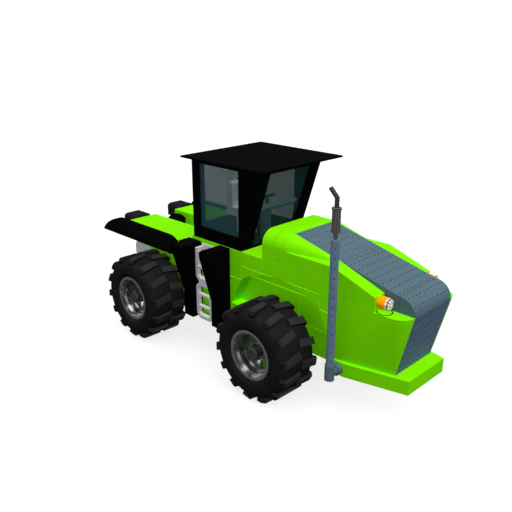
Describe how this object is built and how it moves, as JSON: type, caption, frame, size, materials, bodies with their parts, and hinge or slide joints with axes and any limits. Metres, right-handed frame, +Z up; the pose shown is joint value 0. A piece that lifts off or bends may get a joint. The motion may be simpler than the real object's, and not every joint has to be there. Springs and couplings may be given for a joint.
{
  "type": "brick-built toy tractor",
  "caption": "Brick-built toy tractor with lime body, sloping slate bonnet, dark glazed cab, side exhaust, ladders and equal lugged wheels that roll.",
  "frame": {"origin": "on the ground under the middle of the tractor's overall box", "axes": "+Z up, the tractor's front faces -Y, its right side with the exhaust faces -X"},
  "size_m": [0.102, 0.2216, 0.1171],
  "materials": {
    "lime": "glossy lime green moulded plastic",
    "slate": "satin slate blue-grey moulded plastic",
    "black": "glossy black moulded plastic",
    "dark_grey": "satin dark grey moulded plastic",
    "light_grey": "satin light grey moulded plastic",
    "silver": "bright silver plated plastic",
    "orange": "glossy orange moulded plastic",
    "lens": "clear moulded plastic",
    "glass": "smoke tinted clear plastic",
    "tyre": "matte black soft rubber"
  },
  "bodies": {
    "tractor": {"keel": "lime", "axle_front": "dark_grey", "axle_rear": "dark_grey", "core": "lime", "side_wall_right": "lime", "side_wall_left": "lime", "bonnet_arch": "lime", "shoulder_right": "lime", "shoulder_left": "lime", "bonnet_panel": "slate", "grille": "slate", "brow_right": "lime", "brow_left": "lime", "corner_right": "lime", "corner_left": "lime", "bumper": "lime", "headlight_right": "orange", "headlight_left": "orange", "lens_right": "lens", "lens_left": "lens", "exhaust_socket": "slate", "exhaust_pipe": "slate", "muffler": "dark_grey", "exhaust_tip": "dark_grey", "cab_floor": "black", "cab_side_right": "black", "cab_side_left": "black", "screen_frame": "black", "rear_frame": "black", "roof": "black", "windscreen": "glass", "side_glass_right": "glass", "side_glass_left": "glass", "rear_glass": "glass", "seat": "light_grey", "console": "slate", "steering_wheel": "dark_grey", "ladder_right": "light_grey", "ladder_left": "light_grey", "front_guard_right": "black", "front_guard_left": "black", "rear_guard_right": "black", "rear_guard_left": "black", "deck_right": "lime", "deck_left": "lime", "fender_right": "black", "fender_left": "black", "rear_body": "lime", "tail_block_right": "dark_grey", "tail_block_left": "dark_grey", "filler_cap": "black", "drawbar": "light_grey"},
    "wheel_front_right": {"rim_front_right": "silver", "tyre_front_right": "tyre"},
    "wheel_front_left": {"rim_front_left": "silver", "tyre_front_left": "tyre"},
    "wheel_rear_right": {"rim_rear_right": "silver", "tyre_rear_right": "tyre"},
    "wheel_rear_left": {"rim_rear_left": "silver", "tyre_rear_left": "tyre"}
  },
  "joints": [
    {"name": "roll_front_right", "type": "hinge", "parent": "tractor", "child": "wheel_front_right", "pos_m": [-0.038, -0.038, 0.0261], "axis": [1, 0, 0], "continuous": true},
    {"name": "roll_front_left", "type": "hinge", "parent": "tractor", "child": "wheel_front_left", "pos_m": [0.038, -0.038, 0.0261], "axis": [1, 0, 0], "continuous": true},
    {"name": "roll_rear_right", "type": "hinge", "parent": "tractor", "child": "wheel_rear_right", "pos_m": [-0.038, 0.065, 0.0261], "axis": [1, 0, 0], "continuous": true},
    {"name": "roll_rear_left", "type": "hinge", "parent": "tractor", "child": "wheel_rear_left", "pos_m": [0.038, 0.065, 0.0261], "axis": [1, 0, 0], "continuous": true}
  ]
}
